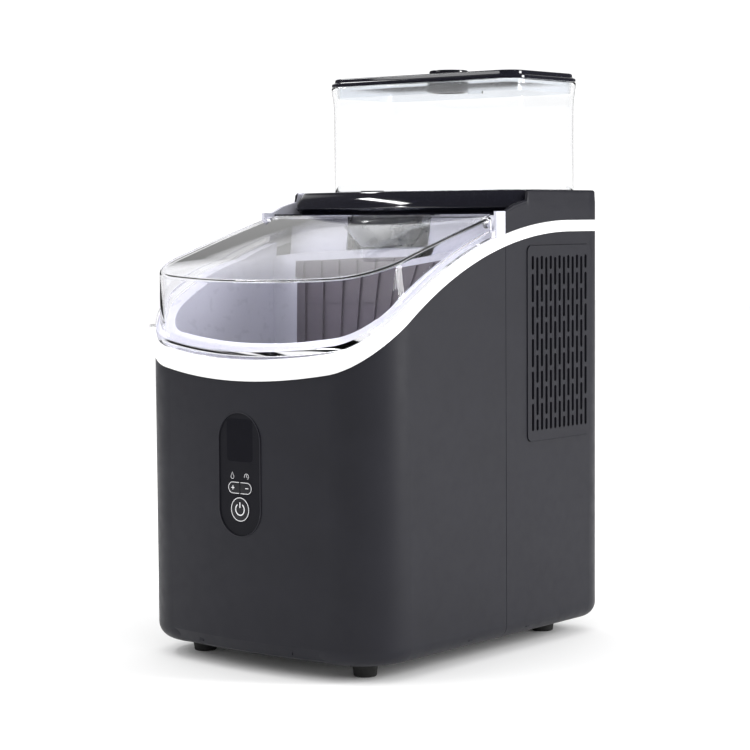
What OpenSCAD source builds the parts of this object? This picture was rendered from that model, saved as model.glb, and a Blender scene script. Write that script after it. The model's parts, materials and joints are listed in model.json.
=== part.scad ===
// Worktop nugget ice maker: a casing with a clear bin lid at the front, a water tank
// standing on the deck at the back, and an auger ice unit with its own refrigeration inside.
// X runs across the front, Y from front to back, Z up. The origin is the middle of the
// footprint, on the surface the feet stand on.

/* [Casing] */
// Width of the casing, side to side
body_w = 240; // [239:0.5:242]
// Depth of the casing, front to back
body_d = 312; // [311:0.5:314]
// Corner radius at the front, seen from above
front_r = 47; // [45:1:50]
// Radius of the slightly bowed front, seen from above
bow_r = 470; // [450:5:520]
// Corner radius at the back, seen from above
rear_r = 28; // [26:1:31]
// Radius along the casing's bottom edge
bottom_r = 12; // [11:0.5:12]
// Height of the feet below the casing
foot_h = 12; // [11:0.5:12]
// How far the white trim stands out from the casing
band_proud = 1.5; // [1:0.25:2]
// Width of the shadow gap between the two casing halves
seam_gap = 0.5; // [0.3:0.1:0.8]

/* [Lid and deck] */
// Height of the lid's top surface above its hinge
lid_rise = 5.8; // [5.5:0.1:5.9]
// Wall thickness of the clear lid
lid_t = 2.5; // [2:0.1:2.6]
// How far the deck's sloped edge leans back from its crease
deck_lean = 10.4; // [9:0.2:11]

/* [Water tank] */
// Outer width of the water tank
tank_w = 192; // [188:1:194]
// Wall thickness of the water tank
tank_t = 2.2; // [2:0.1:2.4]
// Radius of the tank's fill cap
cap_r = 16; // [15:0.5:18]

/* [Controls] */
// Radius of the power button
power_r = 9.5; // [8.5:0.25:9.5]
// Running clearance around each key
key_gap = 0.3; // [0.2:0.05:0.4]

/* [Ice unit] */
// Outer radius of the auger's flight
auger_r = 19.4; // [18:0.2:19.4]
// Number of turns on the auger
auger_turns = 4; // [3:1:5]
// Number of fan blades
fan_blades = 7; // [5:1:9]

/* [Hidden] */
$fn = 64;

far = 400;
half_w = body_w / 2;
half_d = body_d / 2;
wall = 2.5;
deck_z = 358;
seam_y = 14.6;
charcoal = [0.24, 0.24, 0.27];
lavender = [0.74, 0.74, 0.82];
clear = [0.85, 0.86, 0.92, 0.35];

// The bowed front runs into its corner circles, which stand forward of it by a hair
bow_y = bow_r - half_d;
corner_x = half_w - front_r;
corner_y = bow_y - sqrt(pow(bow_r - front_r, 2) - pow(corner_x, 2)) - 0.15;
bow_end = corner_x * bow_r / (bow_r - front_r) - 2;

// The trim follows a large arc from the front face up to the level part at the back
arc_y = 100;
arc_z = -34.6;
arc_low = 360;
arc_high = 369;

// The lid's top is a very large arc that falls towards the front
hinge_y = 8;
hinge_z = 333;
hinge_r = 2.5;
boss_r = 5.5;
lid_arc = 2500;
lid_fall = 14.5;
lid_side_end = 2;
lid_rear = 10;
lid_inset = 4;

// The deck's front edge is an arc about a vertical axis behind the casing
deck_r = 300;
deck_cy = 311.3;
deck_crease_z = 345;
deck_low_z = 340.5;
deck_side = 3;
base_front = 15.5;
base_t = 3.2;

tank_front = 58;
tank_rear = 152;
tank_corner = 16;
tank_z = 354.2;
tank_top = 445.3;
valve_x = -60;
valve_y = 75;
stem_r = 2;
lid_plate_z = 445.5;
cap_y = 101;

grille_y = 85.2;
grille_z = 238.9;
grille_w = 86;
grille_h = 152;

panel_z = 148;
panel_w = 41;
panel_h = 92;
panel_y = -half_d + 0.6;
panel_t = 2.5;
power_z = 122;
pill_z = 138;
pill_w = 24;
pill_h = 9.4;
window_w = 26;
window_h = 32;
window_z = 173.6;

basket_w = 184;
basket_low = 110;
basket_high = 216;
basket_front = -128;
basket_rear = -20;
liner_inset = 14;
liner_t = 2;
bin_floor = 106;
ledge_z = 307;
cover_x = -2;
cover_w = 154;
cover_z = 226;
cover_h = 74;
chute_y = 28;
chute_r = 40;
chute_tip_r = 25;
chute_top = 329;
chute_low = 310;

unit_y = 60;
shaft_r = 5;
run_gap = 0.05;
gear_z = 150;
gear_m = 1.25;
gear_n = 48;
pinion_n = 12;
pinion_x = gear_m * (gear_n + pinion_n) / 2;

fan_y = 86.5;
fan_z = 238;
fan_r = 38;
comp_x = -62;
comp_y = 95;
comp_r = 44;
tray_z = 14.7;
tray_t = 3;
tray_top = tray_z + tray_t;
drain_x = -5;
drain_z = 30;
inlet_x = 75;
inlet_z = 60;

screw_r = 1.6;
lug_r = 5;
front_lugs = [[-45, -134], [45, -134], [-101, -30], [101, -30]];
rear_lugs = [[-60, 137], [60, 137], [-101, 44], [101, 44]];
foot_x = 81.5;
foot_front = -110;
foot_rear = 117;

// ---- shared shapes ----

// The casing's outline from above, moved in by inset
module plan(inset = 0) {
    w = half_w - inset;
    d = half_d - inset;
    r = rear_r - inset;
    for (s = [-1, 1]) {
        translate([s * corner_x, corner_y]) circle(r = front_r - inset);
        translate([s * (w - r), d - r]) circle(r = r);
    }
    intersection() {
        translate([0, bow_y]) circle(r = bow_r - inset, $fn = 720);
        translate([-bow_end, -far]) square([2 * bow_end, far]);
    }
    translate([-w, corner_y]) square([2 * w, d - r - corner_y]);
    translate([r - w, 0]) square([2 * (w - r), d]);
}

module slab(inset, low, high) {
    translate([0, 0, low]) linear_extrude(high - low) plan(inset);
}

// Extrudes a side view, drawn as (Y, Z), along X about the middle
module along_x(w) {
    rotate([90, 0, 90]) linear_extrude(w, center = true) children();
}

// Extrudes a front view, drawn as (X, Z), along Y from low to high
module along_y(low, high) {
    translate([0, high, 0]) rotate([90, 0, 0]) linear_extrude(high - low) children();
}

// Everything below the trim's arc of radius r, as a side view
module under_arc(r) {
    intersection() {
        translate([arc_y, arc_z]) circle(r = r, $fn = 360);
        translate([-far, 0]) square([far + arc_y, far]);
    }
    translate([arc_y, 0]) square([far, arc_z + r]);
}

// Everything below the lid's top surface, lowered by drop, as a side view
module under_lid(drop) {
    translate([hinge_y + lid_arc * sin(lid_fall), hinge_z + lid_rise - lid_arc * cos(lid_fall)])
        circle(r = lid_arc - drop, $fn = 1440);
}

// A side view of everything between two values of Y
module between_y(low, high) {
    translate([low, 0]) square([high - low, far]);
}

module stadium(w, h) {
    r = min(w, h) / 2;
    for (s = [-1, 1]) translate([s * (w / 2 - r), s * (h / 2 - r)]) circle(r = r);
    square([max(w - 2 * r, w < h ? w : 0), max(h - 2 * r, h < w ? h : 0)], center = true);
}

module rounded(w, h, r) {
    for (x = [-1, 1], y = [-1, 1]) translate([x * (w / 2 - r), y * (h / 2 - r)]) circle(r = r);
    square([w - 2 * r, h], center = true);
    square([w, h - 2 * r], center = true);
}

module ring(r_out, r_in, h) {
    difference() {
        cylinder(r = r_out, h = h);
        translate([0, 0, -1]) cylinder(r = r_in, h = h + 2);
    }
}

module rod(a, b, r) {
    v = b - a;
    translate(a) rotate([0, acos(v.z / norm(v)), atan2(v.y, v.x)]) cylinder(r = r, h = norm(v));
}

// A round tube along straight runs with ball corners
module tube(points, r) {
    last = len(points) - 1;
    for (i = [0:last - 1]) rod(points[i], points[i + 1], r);
    for (i = [1:last - 1]) translate(points[i]) sphere(r = r);
}

// ---- casing ----

// A disc with a rounded lower edge
module rounded_disc(r, f) {
    rotate_extrude() {
        square([r - f, f]);
        intersection() {
            translate([r - f, f]) circle(r = f);
            square([r, f]);
        }
    }
}

// A solid with the casing's outline and a rounded bottom edge
module casing_block(inset, low, high, f) {
    w = half_w - inset;
    d = half_d - inset;
    rr = rear_r - inset;
    slab(inset, low + f, high);
    slab(inset + f, low, low + f + 1);
    for (s = [-1, 1]) {
        translate([s * corner_x, corner_y, low]) rounded_disc(front_r - inset, f);
        translate([s * (w - rr), d - rr, low]) rounded_disc(rr, f);
        translate([s * (w - f), corner_y, low + f]) rotate([-90, 0, 0])
            cylinder(r = f, h = d - rr - corner_y);
    }
    // the bow's lower edge, in two slopes
    bow = bow_r - inset;
    turn = 0.293 * f;
    intersection() {
        translate([0, bow_y, low]) union() {
            cylinder(r1 = bow - f, r2 = bow - turn, h = turn, $fn = 720);
            translate([0, 0, turn]) cylinder(r1 = bow - turn, r2 = bow, h = f - turn, $fn = 720);
        }
        translate([-bow_end, -far, low]) cube([2 * bow_end, far, f]);
    }
    translate([rr - w, d - f, low + f]) rotate([0, 90, 0]) cylinder(r = f, h = 2 * (w - rr));
}

module casing_shell() {
    difference() {
        casing_block(0, foot_h, deck_z, bottom_r);
        casing_block(wall, foot_h + wall, deck_z + 1, bottom_r - wall);
        slab(bottom_r + 2, foot_h - 1, foot_h + wall + 1);
    }
}

// Screw lugs on the inside of a shell, each with an arm to the nearest wall
module lugs(places) {
    lug_h = 9;
    difference() {
        for (p = places) {
            side_arm = half_w - 1 - abs(p.x);
            end_arm = half_d - (p.y < 0 ? 3.8 : 1) - abs(p.y);
            translate([p.x, p.y, tray_top]) cylinder(r = lug_r, h = lug_h);
            if (abs(p.x) > 100)
                translate([p.x > 0 ? p.x : p.x - side_arm, p.y - 2, tray_top]) cube([side_arm, 4, lug_h]);
            else
                translate([p.x - 2, p.y > 0 ? p.y : p.y - end_arm, tray_top]) cube([4, end_arm, lug_h]);
        }
        for (p = places) translate([p.x, p.y, 0]) cylinder(r = screw_r, h = 60);
    }
}

module front_shell() {
    color(charcoal) {
        difference() {
            intersection() {
                casing_shell();
                along_x(far) intersection() {
                    under_arc(arc_low);
                    between_y(-far, seam_y - seam_gap / 2);
                }
            }
            along_y(-half_d - 1, -half_d + 4) translate([0, panel_z]) stadium(panel_w, panel_h);
        }
        // lip behind the seam, which the rear shell slides over
        intersection() {
            difference() {
                slab(wall, 30, 300);
                slab(wall + 2, 29, 301);
            }
            along_x(far) between_y(seam_y - 6, seam_y + 5);
        }
        lugs(front_lugs);
    }
}

module grille_cut(grow) {
    rotate([90, 0, 90]) linear_extrude(8, center = true)
        translate([grille_y, grille_z]) rounded(grille_w + grow, grille_h + grow, 5);
}

module rear_shell() {
    color(charcoal) {
        difference() {
            intersection() {
                casing_shell();
                along_x(far) intersection() {
                    under_arc(arc_low);
                    between_y(seam_y + seam_gap / 2, far);
                }
            }
            for (s = [-1, 1]) translate([s * half_w, 0, 0]) grille_cut(0.6);
            translate([drain_x, half_d, drain_z]) rotate([90, 0, 0]) cylinder(r = 6, h = 8, center = true);
            translate([inlet_x, half_d, inlet_z]) cube([30, 8, 24], center = true);
        }
        lugs(rear_lugs);
    }
}

module trim_band() {
    color("white") difference() {
        intersection() {
            difference() {
                slab(-band_proud, 200, 340);
                slab(wall, 199, 341);
            }
            along_x(far) under_arc(arc_high);
        }
        along_x(far) under_arc(arc_low);
    }
}

// Side view of the collar: low where the deck leans forward, full height behind it
module collar_view() {
    low_z = 342;
    step_y = 43.5;
    step_z = 350.5;
    front = seam_y + seam_gap / 2;
    polygon([[front, 200], [front, low_z], [26, 346.6], [step_y, step_z],
             [step_y, deck_z], [far, deck_z], [far, 200]]);
}

module collar_ring() {
    difference() {
        slab(0, 300, deck_z);
        slab(wall, 299, deck_z + 1);
    }
}

module top_collar() {
    ledge = 4;
    color(charcoal) {
        difference() {
            intersection() {
                collar_ring();
                along_x(far) collar_view();
            }
            along_x(far) under_arc(arc_high);
        }
        // inner ledge that carries the deck
        intersection() {
            difference() {
                slab(wall, deck_low_z - base_t - ledge, deck_low_z - base_t);
                slab(wall + ledge, 330, deck_low_z);
            }
            along_x(far) between_y(30, far);
        }
    }
}

module hinge_cheek(side) {
    cheek_top = 341.5;
    cheek_front = 3;
    reach = 6;
    color(lavender) difference() {
        union() {
            difference() {
                intersection() {
                    collar_ring();
                    along_x(far) difference() {
                        translate([cheek_front, 300])
                            square([seam_y - seam_gap / 2 - cheek_front, cheek_top - 300]);
                        under_arc(arc_high);
                    }
                }
                translate([side > 0 ? -far : 0, -far, 0]) cube([far, 2 * far, far]);
            }
            translate([side * (half_w - wall - reach / 2), hinge_y, hinge_z]) rotate([0, 90, 0])
                cylinder(r = boss_r, h = reach, center = true);
        }
        translate([side * (half_w - wall - reach / 2), hinge_y, hinge_z]) rotate([0, 90, 0])
            cylinder(r = hinge_r, h = reach + 1, center = true);
    }
}

module hinge_cheek_left() { hinge_cheek(-1); }
module hinge_cheek_right() { hinge_cheek(1); }

// One louvre column as the gaps between its bridges
module slot_column(shift) {
    slot_w = 3.1;
    pitch = 25.2;
    bridge = 3;
    top = 68.1;
    for (k = [-1:5]) {
        high = min(top, top - shift - k * pitch - bridge / 2);
        low = max(-top, top - shift - (k + 1) * pitch + bridge / 2);
        if (high - low > 2 * slot_w)
            translate([0, (high + low) / 2]) stadium(slot_w, high - low);
    }
}

module grille(side) {
    columns = 13;
    step = 6.05;
    proud = 0.9;
    color(charcoal) translate([side * (half_w + proud / 2 - wall / 2), 0, 0]) rotate([90, 0, 90])
        linear_extrude(wall + proud, center = true) difference() {
            translate([grille_y, grille_z]) rounded(grille_w, grille_h, 5);
            for (i = [0:columns - 1])
                translate([grille_y + (i - (columns - 1) / 2) * step, grille_z])
                    slot_column(i % 2 == 0 ? 12.4 : 24.9);
        }
}

module grille_left() { grille(-1); }
module grille_right() { grille(1); }

module base_tray() {
    color("dimgray") difference() {
        slab(bottom_r - 0.2, tray_z, tray_top);
        for (p = concat(front_lugs, rear_lugs)) translate([p.x, p.y, 0]) cylinder(r = 2.2, h = 60);
    }
}

module foot(x, y) {
    color("black") translate([x, y, 0]) {
        cylinder(r1 = 8.6, r2 = 10, h = foot_h);
        translate([0, 0, foot_h]) cylinder(r = 10, h = tray_z - foot_h);
    }
}

module foot_front_left() { foot(-foot_x, foot_front); }
module foot_front_right() { foot(foot_x, foot_front); }
module foot_rear_left() { foot(-foot_x, foot_rear); }
module foot_rear_right() { foot(foot_x, foot_rear); }

module case_screws() {
    head_h = 2;
    color("silver") for (p = concat(front_lugs, rear_lugs)) translate([p.x, p.y, tray_z - head_h]) {
        cylinder(r = 3.5, h = head_h);
        cylinder(r = screw_r, h = head_h + 10);
    }
}

// ---- deck ----

module deck_solid(shrink, top) {
    low_back = 6.2;
    crease_r = deck_r - shrink;
    above = deck_z - deck_crease_z;
    below = deck_crease_z - deck_low_z;
    intersection() {
        union() {
            translate([0, deck_cy, deck_crease_z])
                cylinder(r1 = crease_r, r2 = crease_r - deck_lean, h = above, $fn = 360);
            translate([0, deck_cy, deck_low_z])
                cylinder(r1 = crease_r - low_back, r2 = crease_r, h = below, $fn = 360);
        }
        slab(deck_side + shrink, deck_low_z, top);
    }
}

module top_deck() {
    seat_r = 14.1;
    color([0.05, 0.05, 0.07]) difference() {
        deck_solid(0, deck_z);
        deck_solid(3, deck_z - 7);
        translate([0, 0, tank_z - 0.2]) linear_extrude(10) tank_plan(-0.4);
        translate([valve_x, valve_y, 300]) cylinder(r = seat_r, h = 100);
    }
}

module deck_base() {
    color([0.05, 0.05, 0.07]) difference() {
        intersection() {
            slab(deck_side, deck_low_z - base_t, deck_low_z);
            along_x(far) between_y(base_front, far);
        }
        translate([valve_x, valve_y, 300]) cylinder(r = 6.2, h = 100);
    }
}

// ---- ice bin ----

module lid() {
    flange_top = 375;
    gap = 1;
    tab_turn = 39.5;
    color(clear) difference() {
        union() {
            difference() {
                intersection() {
                    slab(lid_inset, 200, deck_z);
                    along_x(far) intersection() {
                        under_lid(0);
                        between_y(-far, lid_rear);
                    }
                }
                intersection() {
                    union() {
                        slab(lid_inset + lid_t, 199, deck_z);
                        translate([-half_w, lid_side_end, 199]) cube([body_w, 20, far]);
                    }
                    along_x(far) under_lid(lid_t);
                }
            }
            // flange that rests just above the trim
            intersection() {
                difference() {
                    slab(0.5, 200, deck_z);
                    slab(lid_inset + lid_t, 199, deck_z);
                }
                along_x(far) intersection() {
                    under_arc(flange_top);
                    between_y(-far, lid_side_end);
                }
            }
            // hinge ears
            for (s = [-1, 1]) translate([s * 108, 0, 0]) along_x(4) {
                translate([hinge_y, hinge_z]) circle(r = boss_r);
                translate([lid_side_end + 1, hinge_z]) square([7, 3.8]);
            }
            // finger tab at the front left corner
            translate([-108.9, -132.2, 254]) rotate([0, 0, tab_turn]) translate([-5, -8, 0])
                cube([6, 16, 1.6]);
        }
        along_x(far) under_arc(arc_high + gap);
        // the sheet narrows to pass between the hinge bosses
        for (s = [-1, 1]) translate([s * (111 + far / 2), lid_side_end + far / 2, hinge_z])
            cube([far, far, far], center = true);
        for (s = [-1, 1]) translate([s * 108, hinge_y, hinge_z]) rotate([0, 90, 0])
            cylinder(r = hinge_r + run_gap, h = 6, center = true);
    }
}

module lid_hinge_pins() {
    inner = 104;
    color("silver") for (s = [-1, 1])
        translate([s * (inner + half_w - wall) / 2, hinge_y, hinge_z]) rotate([0, 90, 0])
            cylinder(r = hinge_r, h = half_w - wall - inner, center = true);
}

module bin_liner() {
    back = 2;
    duct_w = 86;
    upper_y = 24;
    rim = arc_high - 1;
    color(lavender) {
        difference() {
            intersection() {
                difference() {
                    slab(liner_inset, bin_floor, far);
                    slab(liner_inset + liner_t, bin_floor + liner_t, far + 1);
                }
                along_x(far) intersection() {
                    under_arc(rim);
                    between_y(-far, back);
                }
            }
        }
        // back wall with the opening that the dark cover fills
        difference() {
            translate([-half_w + liner_inset, 0, bin_floor])
                cube([body_w - 2 * liner_inset, back, ledge_z - bin_floor]);
            translate([cover_x - cover_w / 2, -1, cover_z]) cube([cover_w, back + 2, cover_h]);
        }
        // rim that follows the trim
        intersection() {
            difference() {
                slab(wall + 0.2, 200, far);
                slab(liner_inset, 199, far + 1);
            }
            along_x(far) difference() {
                intersection() {
                    under_arc(rim);
                    between_y(-far, back);
                }
                under_arc(rim - 2.5);
            }
        }
        // ledge and upper wall around the ice duct
        translate([-half_w + liner_inset, back, ledge_z - 2])
            cube([body_w - 2 * liner_inset, upper_y - back, 2]);
        difference() {
            translate([-half_w + liner_inset, upper_y - 2, ledge_z - 2])
                cube([body_w - 2 * liner_inset, 2, deck_low_z - base_t - ledge_z + 2]);
            translate([-duct_w / 2, upper_y - 5, ledge_z]) cube([duct_w, 8, far]);
        }
        // step below the cover, with a drain slot
        difference() {
            translate([cover_x - cover_w / 2, -16, cover_z - 6]) cube([cover_w, 16, 5]);
            translate([cover_x - cover_w / 2 + 12, -11, cover_z - 8]) cube([14, 4, 10]);
        }
    }
}

module outlet_cover() {
    ribs = 8;
    color([0.2, 0.19, 0.23]) {
        translate([cover_x - cover_w / 2, 0, cover_z]) cube([cover_w, 2, cover_h]);
        for (i = [0:ribs - 1])
            translate([cover_x + (i - (ribs - 1) / 2) * cover_w / ribs - 0.8, -2, cover_z + 1])
                cube([1.6, 2, cover_h - 2]);
        translate([cover_x - cover_w / 2 + 1, -1, cover_z + cover_h * 0.57]) cube([cover_w - 2, 1, 1.2]);
    }
}

// Hood that turns the ice down into the bin
module ice_chute() {
    t = 2;
    duct_low = 303;
    duct_end = 87;
    funnel_h = chute_top - chute_low;
    color([0.9, 0.9, 0.95, 0.5]) difference() {
        union() {
            translate([0, chute_y, chute_low]) cylinder(r1 = chute_tip_r, r2 = chute_r, h = funnel_h);
            intersection() {
                translate([0, chute_y, chute_top]) cylinder(r = chute_r, h = deck_low_z - base_t - chute_top);
                translate([-far, 17, 0]) cube(far * 2);
            }
        }
        translate([0, chute_y, chute_low - t]) cylinder(r1 = chute_tip_r - t, r2 = chute_r - t, h = funnel_h);
        translate([-far, chute_y, 0]) cube([2 * far, far, far]);
    }
    // duct over the top of the ice unit
    color([0.9, 0.9, 0.95, 0.5]) difference() {
        translate([-chute_r, chute_y - 1, duct_low])
            cube([2 * chute_r, duct_end - chute_y + 1, deck_low_z - base_t - duct_low]);
        translate([t - chute_r, chute_y - 2, duct_low + t])
            cube([2 * (chute_r - t), duct_end - chute_y + 2 - t, far]);
        translate([0, unit_y, duct_low - 1]) cylinder(r = 20, h = t + 2);
    }
}

module ice_sensor() {
    color("black") translate([-half_w + liner_inset + liner_t, -40, 205]) {
        cube([4, 18, 12]);
        translate([4, 9, 6]) rotate([0, 90, 0]) cylinder(r = 3, h = 2);
    }
}

module basket_outline(inset) {
    translate([0, (basket_front + basket_rear) / 2])
        rounded(basket_w - 2 * inset, basket_rear - basket_front - 2 * inset, 34 - inset);
}

module ice_basket() {
    t = 2;
    color([0.82, 0.84, 0.9, 0.6]) {
        difference() {
            translate([0, 0, basket_low]) linear_extrude(basket_high - basket_low) basket_outline(0);
            translate([0, 0, basket_low + t]) linear_extrude(far) basket_outline(t);
            for (i = [-5:5], y = [basket_front + 36 : 18 : basket_rear - 34])
                translate([i * 14, y, basket_low - 1]) linear_extrude(t + 2) stadium(4, 12);
        }
        // rolled rim
        translate([0, 0, basket_high - 3]) linear_extrude(3) difference() {
            basket_outline(-3);
            basket_outline(t);
        }
    }
}

module ice_scoop() {
    t = 1.8;
    bowl_r = 24;
    color([0.85, 0.87, 0.92, 0.7]) translate([10, -70, basket_low + 2]) {
        // half-round bowl
        translate([0, 0, bowl_r]) rotate([0, 90, 0]) difference() {
            cylinder(r = bowl_r, h = 62);
            translate([0, 0, t]) cylinder(r = bowl_r - t, h = 62);
            translate([-bowl_r - 1, -bowl_r - 1, -1]) cube([bowl_r + 1, 2 * bowl_r + 2, 64]);
        }
        // handle
        translate([-58, -7, bowl_r - 6]) cube([60, 14, 4]);
    }
}

// ---- controls ----

module control_bezel() {
    gap = key_gap;
    color([0.13, 0.13, 0.15]) along_y(panel_y, panel_y + panel_t) difference() {
        translate([0, panel_z]) stadium(panel_w - 0.2, panel_h - 0.2);
        translate([0, window_z]) rounded(window_w, window_h, 3);
        translate([0, pill_z]) stadium(pill_w + 2 * gap, pill_h + 2 * gap);
        translate([0, power_z]) circle(r = power_r + gap);
    }
}

module display_window() {
    color([0.08, 0.08, 0.1]) along_y(panel_y, panel_y + 1.6)
        translate([0, window_z]) rounded(window_w, window_h, 3);
}

module power_button() {
    color([0.12, 0.12, 0.14]) translate([0, panel_y + panel_t, power_z]) rotate([90, 0, 0])
        cylinder(r = power_r, h = panel_t + 0.4);
}

module pill_key(side) {
    color([0.12, 0.12, 0.14]) along_y(panel_y - 0.3, panel_y + panel_t) intersection() {
        translate([0, pill_z]) stadium(pill_w, pill_h);
        translate([side > 0 ? 0.2 : -30.2, pill_z - 10]) square([30, 20]);
    }
}

module key_plus() { pill_key(-1); }
module key_minus() { pill_key(1); }

module control_board() {
    board_y = -half_d + 5.4;
    color("darkgreen") {
        translate([-17, board_y, 105]) cube([34, 1.6, 86]);
        for (p = [[-6, pill_z], [6, pill_z], [0, power_z]])
            translate([p.x, board_y, p.y]) rotate([90, 0, 0]) cylinder(r = 2, h = 0.7);
    }
}

// ---- water tank ----

module tank_plan(inset) {
    translate([0, (tank_front + tank_rear) / 2])
        rounded(tank_w - 2 * inset, tank_rear - tank_front - 2 * inset, tank_corner - inset);
}

module water_tank() {
    floor_t = 3;
    rim_h = 3.3;
    collar_low = 344;
    web_low = 351;
    color(clear) {
        difference() {
            union() {
                translate([0, 0, tank_z]) linear_extrude(tank_top - tank_z) tank_plan(0);
                translate([0, 0, tank_top - rim_h]) linear_extrude(rim_h) tank_plan(-2);
            }
            translate([0, 0, tank_z + floor_t]) linear_extrude(far) tank_plan(tank_t);
            translate([valve_x, valve_y, 300]) cylinder(r = 7, h = 100);
        }
        // outlet collar and the web that guides the valve's stem
        translate([valve_x, valve_y, collar_low]) ring(11, 7, tank_z - collar_low);
        translate([valve_x, valve_y, web_low]) difference() {
            translate([-7.5, -1.5, 0]) cube([15, 3, 1.5]);
            translate([0, 0, -1]) cylinder(r = stem_r + run_gap, h = 4);
        }
    }
}

module tank_valve() {
    disc_z = 357.3;
    stem_low = 344.8;
    color("dimgray") translate([valve_x, valve_y, 0]) {
        translate([0, 0, stem_low]) cylinder(r = 5, h = 1);
        translate([0, 0, stem_low]) cylinder(r = stem_r, h = disc_z - stem_low);
        translate([0, 0, disc_z]) cylinder(r = 9.5, h = 2.4);
    }
}

// Coil spring around the stem, swept as one closed skin
module valve_spring() {
    turns = 3;
    steps = 16;
    sides = 8;
    coil_r = 3.3;
    wire_r = 0.45;
    low = 346.3;
    high = 350.4;
    rings = turns * steps;
    points = [for (i = [0:rings], j = [0:sides - 1])
        let (turn = 360 * i / steps, around = 360 * j / sides, r = coil_r + wire_r * cos(around))
        [r * cos(turn), r * sin(turn), low + (high - low) * i / rings + wire_r * sin(around)]];
    skin = [for (i = [0:rings - 1], j = [0:sides - 1])
        let (a = i * sides + j, b = i * sides + (j + 1) % sides)
        [a, b, b + sides, a + sides]];
    first = [[for (j = [0:sides - 1]) sides - 1 - j]];
    last = [[for (j = [0:sides - 1]) rings * sides + j]];
    color("silver") translate([valve_x, valve_y, 0])
        polyhedron(points = points, faces = concat(skin, first, last));
}

module tank_lid() {
    step_z = 449.3;
    top_z = 452.3;
    neck_low = 439;
    color([0.05, 0.05, 0.07]) difference() {
        union() {
            translate([0, 0, lid_plate_z]) linear_extrude(step_z - lid_plate_z) tank_plan(-1.8);
            translate([0, 0, step_z]) linear_extrude(top_z - step_z) tank_plan(1.2);
        }
        translate([0, 0, lid_plate_z - 1]) linear_extrude(step_z - lid_plate_z) tank_plan(6);
        translate([0, cap_y, 400]) cylinder(r = cap_r - 1.5, h = 100);
    }
    // filler neck
    color([0.05, 0.05, 0.07]) translate([0, cap_y, neck_low]) ring(cap_r + 1, cap_r - 1.5, step_z - neck_low);
}

module tank_lid_skirt() {
    drop = 9;
    color([0.6, 0.6, 0.66, 0.5]) {
        translate([0, 0, lid_plate_z - drop]) linear_extrude(drop) difference() {
            tank_plan(tank_t + 0.8);
            tank_plan(tank_t + 2.4);
        }
        // grip under the front edge
        translate([50, tank_front + tank_t + 0.8, lid_plate_z - drop - 2]) cube([14, 1.6, 3]);
    }
}

module fill_cap() {
    top_z = 452.3;
    color([0.05, 0.05, 0.07]) translate([0, cap_y, 0]) {
        translate([0, 0, 446]) cylinder(r = cap_r - 1.8, h = top_z - 446 + 0.1);
        translate([0, 0, top_z + 0.1]) cylinder(r = cap_r, h = 3.2);
        translate([0, 0, top_z + 3.3]) cylinder(r1 = cap_r, r2 = cap_r - 3, h = 1.6);
    }
}

module valve_seat() {
    cup_top = 354;
    cup_floor = 343;
    color("gray") translate([valve_x, valve_y, 0]) difference() {
        union() {
            translate([0, 0, deck_low_z]) cylinder(r = 14, h = cup_top - deck_low_z);
            translate([0, 0, 330]) cylinder(r = 6, h = deck_low_z - 330);
        }
        translate([0, 0, cup_floor]) cylinder(r = 11.6, h = 20);
        translate([0, 0, 320]) cylinder(r = 4, h = 40);
    }
}

// ---- water circuit ----

module fill_tube() {
    color([0.9, 0.9, 0.92]) tube([[valve_x, valve_y, 330], [valve_x, valve_y, 300], [valve_x, 33, 300],
                                  [valve_x, 33, 60], [valve_x, -18, 60]], 6);
}

module water_reservoir() {
    t = 2.5;
    res_low = 20;
    res_high = 92;
    color([0.85, 0.87, 0.92]) {
        difference() {
            translate([-95, -128, res_low]) cube([110, 110, res_high - res_low]);
            translate([-95 + t, -128 + t, res_low + t]) cube([110 - 2 * t, 110 - 2 * t, far]);
        }
        translate([-70, -45, res_low]) cylinder(r = 3, h = 66);
        for (p = [[-85, -118], [5, -118], [-85, -28], [5, -28]])
            translate([p.x, p.y, tray_top]) cylinder(r = 5, h = res_low - tray_top);
    }
}

module water_float() {
    color("orange") translate([-70, -45, 26]) ring(13, 3 + 2 * run_gap, 16);
}

module water_pump() {
    color([0.2, 0.2, 0.22]) {
        translate([55, -75, tray_top]) cylinder(r = 22, h = 20);
        translate([55, -75, tray_top + 20]) cylinder(r = 16, h = 24);
        rod([15, -75, 30], [40, -75, 30], 5);
        rod([66, -70, 30], [66, -48, 30], 5);
    }
}

module pump_hose() {
    color([0.9, 0.9, 0.92])
        tube([[66, -48, 30], [66, unit_y, 30], [66, unit_y, 190], [34.3, unit_y, 190]], 5);
}

module drain_hose() {
    color([0.85, 0.85, 0.85]) difference() {
        union() {
            rod([drain_x, -18, drain_z], [drain_x, half_d - 20, drain_z], 5);
            rod([drain_x, half_d - 20, drain_z], [drain_x, half_d, drain_z], 6);
        }
        rod([drain_x, half_d - 12, drain_z], [drain_x, half_d + 1, drain_z], 4.5);
    }
}

module drain_plug() {
    color("black") {
        rod([drain_x, half_d - 10, drain_z], [drain_x, half_d + 0.1, drain_z], 4.45);
        rod([drain_x, half_d + 0.1, drain_z], [drain_x, half_d + 1.4, drain_z], 6.5);
    }
}

// ---- ice unit ----

module evaporator() {
    color("silver") translate([0, unit_y, 180]) ring(23, 20, 122);
}

module evaporator_jacket() {
    color([0.2, 0.2, 0.2]) translate([0, unit_y, 182]) ring(34, 23, 116);
}

module auger() {
    color("silver") translate([0, unit_y, 0]) {
        translate([0, 0, gear_z - 0.8]) cylinder(r = shaft_r, h = 304 - gear_z);
        translate([0, 0, 184])
            linear_extrude(106, twist = -360 * auger_turns, slices = 24 * auger_turns)
                polygon([for (a = [-12, 0, 12]) auger_r * [cos(a), sin(a)], [0, 3.5], [0, -3.5]]);
    }
}

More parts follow.
